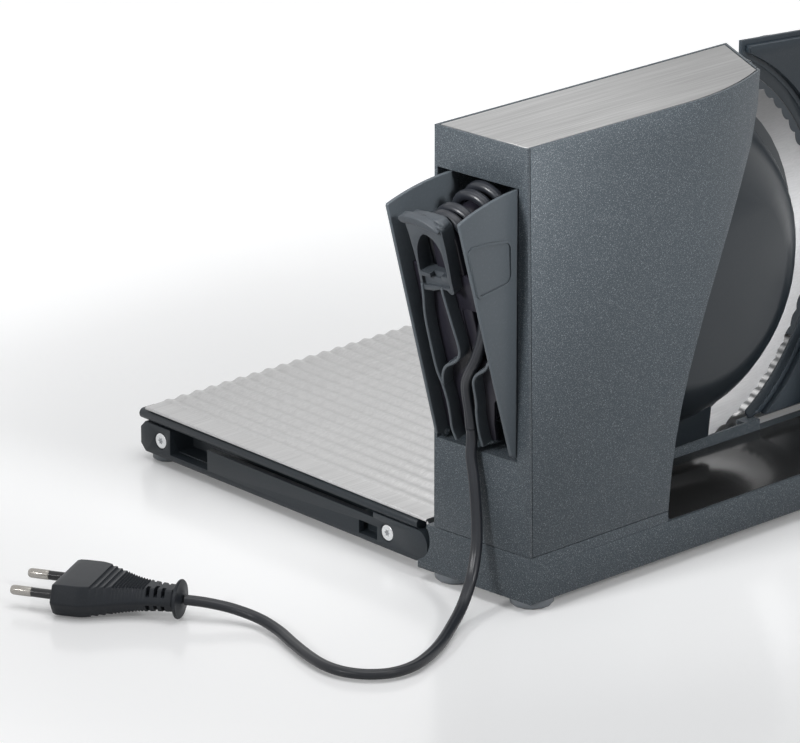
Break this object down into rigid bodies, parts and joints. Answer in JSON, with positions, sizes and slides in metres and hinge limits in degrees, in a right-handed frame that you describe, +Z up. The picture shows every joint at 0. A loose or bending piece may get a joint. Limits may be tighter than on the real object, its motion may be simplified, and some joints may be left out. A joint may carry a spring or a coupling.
{
  "type": "food slicer",
  "caption": "Compact electric food slicer with a serrated round blade, a sliding ridged carriage, an adjustable thickness stop and a tilt-out cord cassette.",
  "frame": {"origin": "on the table under the middle of the foot at the near corner of the cord end", "axes": "+X along the machine away from the cord end, +Y from the logo face to the carriage, +Z up"},
  "size_m": [0.4575, 0.2518, 0.1924],
  "materials": {
    "housing_paint": "fine textured metallic paint",
    "dark_plastic": "satin",
    "cassette_plastic": "satin",
    "dark_gloss": "gloss",
    "brushed_steel": "brushed",
    "bright_steel": "polished",
    "carriage_steel": "satin",
    "foot_rubber": "matte",
    "cord_rubber": "satin",
    "gear_nylon": "satin",
    "bearing_brass": "satin"
  },
  "bodies": {
    "base": {"base_casting": "housing_paint", "tower_housing": "housing_paint", "face_panel": "housing_paint", "top_plate": "brushed_steel", "gear_cover": "dark_gloss", "gear_plate": "dark_plastic", "bush_front": "bearing_brass", "bush_rear": "bearing_brass", "motor": "brushed_steel", "motor_bracket": "brushed_steel", "guide_rail": "brushed_steel", "guide_housing": "housing_paint", "support_arm_left": "dark_plastic", "support_arm_right": "dark_plastic", "guide_rod_near": "bright_steel", "guide_rod_far": "bright_steel", "rod_screw_near_left": "bright_steel", "rod_screw_far_left": "bright_steel", "rod_screw_near_right": "bright_steel", "rod_screw_far_right": "bright_steel", "hinge_pin_left": "bright_steel", "hinge_pin_right": "bright_steel", "support_foot_left": "foot_rubber", "support_foot_right": "foot_rubber", "foot_near_left": "foot_rubber", "foot_far_left": "foot_rubber", "foot_near_right": "foot_rubber", "foot_far_right": "foot_rubber", "cassette_pin_near": "bright_steel", "cassette_pin_far": "bright_steel", "cord_free": "cord_rubber", "plug_body": "cord_rubber", "plug_pin_1": "bright_steel", "plug_pin_2": "bright_steel"},
    "blade": {"blade_shaft": "bright_steel", "blade": "bright_steel", "worm_wheel": "gear_nylon"},
    "blade_lock": {"blade_lock": "dark_plastic"},
    "worm": {"worm": "bright_steel"},
    "stop": {"stop_face": "brushed_steel", "stop_body": "dark_plastic", "stop_carrier": "dark_plastic"},
    "knob": {"pinion_shaft": "bright_steel", "thickness_knob": "dark_plastic"},
    "power_button": {"power_button": "dark_gloss"},
    "lock_button": {"lock_button": "dark_gloss"},
    "carriage": {"carriage_plate": "carriage_steel", "edge_profile_left": "dark_plastic", "edge_profile_right": "dark_plastic", "slide_block_near": "dark_plastic", "slide_block_far": "dark_plastic", "carriage_wall": "dark_plastic"},
    "cassette": {"cassette": "cassette_plastic", "cord_gland": "cord_rubber", "cord_wound": "cord_rubber"}
  },
  "joints": [
    {"name": "blade_spin", "type": "hinge", "parent": "base", "child": "blade", "pos_m": [0.11725, 0.0395, 0.10137], "axis": [0, 1, 0], "continuous": true},
    {"name": "blade_lock_turn", "type": "hinge", "parent": "blade", "child": "blade_lock", "pos_m": [0.11725, 0.0395, 0.10137], "axis": [0, 1, 0], "range_deg": [0, 90]},
    {"name": "worm_spin", "type": "hinge", "parent": "base", "child": "worm", "pos_m": [0.11725, 0.019, 0.13367], "axis": [1, 0, 0], "continuous": true},
    {"name": "stop_slide", "type": "slide", "parent": "base", "child": "stop", "axis": [0, -1, 0], "range_m": [0, 0.015]},
    {"name": "knob_turn", "type": "hinge", "parent": "base", "child": "knob", "pos_m": [0.2505, 0.0157, 0.0527], "axis": [-1, 0, 0], "range_deg": [0, 215]},
    {"name": "power_button_press", "type": "slide", "parent": "base", "child": "power_button", "axis": [0, 1, 0], "range_m": [0, 0.0025], "stiffness_N_per_m": 800},
    {"name": "lock_button_press", "type": "slide", "parent": "base", "child": "lock_button", "axis": [0, 1, 0], "range_m": [0, 0.002], "stiffness_N_per_m": 600},
    {"name": "carriage_slide", "type": "slide", "parent": "base", "child": "carriage", "axis": [-1, 0, 0], "range_m": [0, 0.15]},
    {"name": "cassette_tilt", "type": "hinge", "parent": "base", "child": "cassette", "pos_m": [-0.00844, -0.00196, 0.06528], "axis": [-0.0872, 0.9962, 0], "range_deg": [0, 16.7], "deforming": ["cord_free"]}
  ],
  "couplings": [
    {"joint": "worm_spin", "follows": "blade_spin", "ratio": -36},
    {"joint": "knob_turn", "follows": "stop_slide", "rad_per_m": 250}
  ]
}
